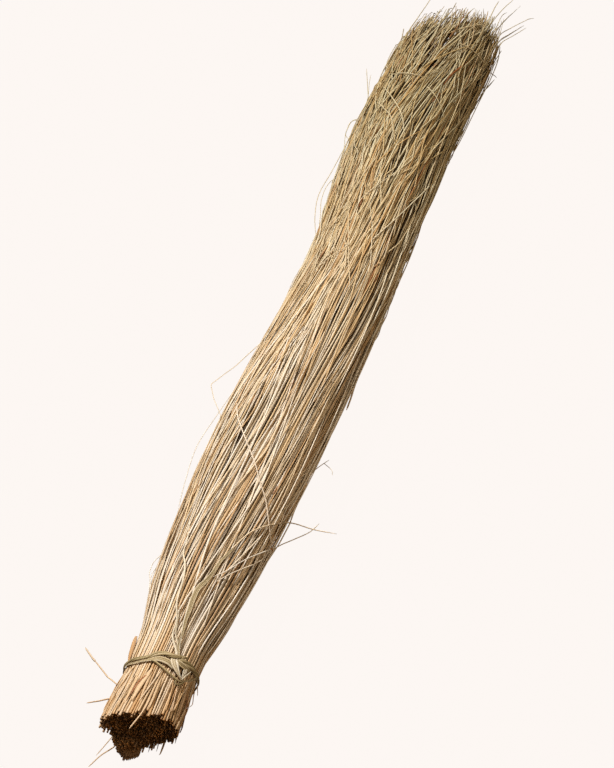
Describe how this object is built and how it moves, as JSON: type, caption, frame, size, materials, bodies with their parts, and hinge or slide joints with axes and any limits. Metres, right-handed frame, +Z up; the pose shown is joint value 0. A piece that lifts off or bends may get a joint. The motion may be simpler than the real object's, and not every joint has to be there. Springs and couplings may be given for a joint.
{
  "type": "bunch of seagrass",
  "caption": "Tied sheaf of long dried seagrass stems that lies on its side, cut square at the butt end and frayed at the tips, with a straw tie near the butts.",
  "frame": {"origin": "middle of the bounding box's underside, on the surface that the bunch lies on", "axes": "+Y along the bunch from its cut butts to its tips, +X to the right seen from the butts, +Z up"},
  "size_m": [0.1577, 1, 0.0923],
  "materials": {
    "straw_pale": null,
    "straw": null,
    "straw_inner": null,
    "tie_straw": null,
    "straw_loose": null
  },
  "bodies": {
    "root": {"heart_lock": "straw_inner", "loose_stem_belly_arc_left": "straw_loose", "loose_stem_bow_right": "straw_loose", "loose_stem_branch_right": "straw_loose", "loose_stem_butt_left_long": "straw_loose", "loose_stem_butt_left_short": "straw_loose", "loose_stem_curl_right": "straw_loose", "loose_stem_floor_long": "straw_loose", "loose_stem_floor_short": "straw_loose", "loose_stem_kinked_left": "straw_loose", "loose_stem_long_crossing": "straw_loose", "loose_stem_low_crossing": "straw_loose", "loose_stem_neck_arc_left": "straw_loose", "loose_stem_over_cut_face": "straw_loose", "loose_stem_tip_bow_right": "straw_loose", "loose_stem_tip_crossing": "straw_loose", "loose_stem_tip_high": "straw_loose", "loose_stem_tip_left": "straw_loose", "loose_stem_tip_right": "straw_loose", "loose_stem_twig_left": "straw_loose", "loose_stem_twig_right": "straw_loose", "middle_lock_1": "straw_inner", "middle_lock_2": "straw_inner", "middle_lock_3": "straw_inner", "middle_lock_4": "straw_inner", "middle_lock_5": "straw_inner", "middle_lock_6": "straw_inner", "stem_lock_01": "straw_pale", "stem_lock_02": "straw", "stem_lock_03": "straw", "stem_lock_04": "straw_pale", "stem_lock_05": "straw", "stem_lock_06": "straw", "stem_lock_07": "straw_pale", "stem_lock_08": "straw", "stem_lock_09": "straw", "stem_lock_10": "straw_pale", "stem_lock_11": "straw", "stem_lock_12": "straw", "stem_lock_13": "straw_pale", "stem_lock_14": "straw", "stem_lock_15": "straw", "stem_lock_16": "straw_pale", "stem_lock_17": "straw", "stem_lock_18": "straw", "stem_lock_19": "straw_pale", "stem_lock_20": "straw", "stem_lock_21": "straw", "stem_lock_22": "straw_pale", "stem_lock_23": "straw", "stem_lock_24": "straw", "stem_lock_25": "straw_pale", "stem_lock_26": "straw", "stem_lock_27": "straw", "stem_lock_28": "straw_pale", "tie_band_lower": "tie_straw", "tie_band_upper": "tie_straw", "tie_knot": "tie_straw", "tie_tail_left": "tie_straw", "tie_tail_right": "tie_straw"}
  },
  "joints": []
}
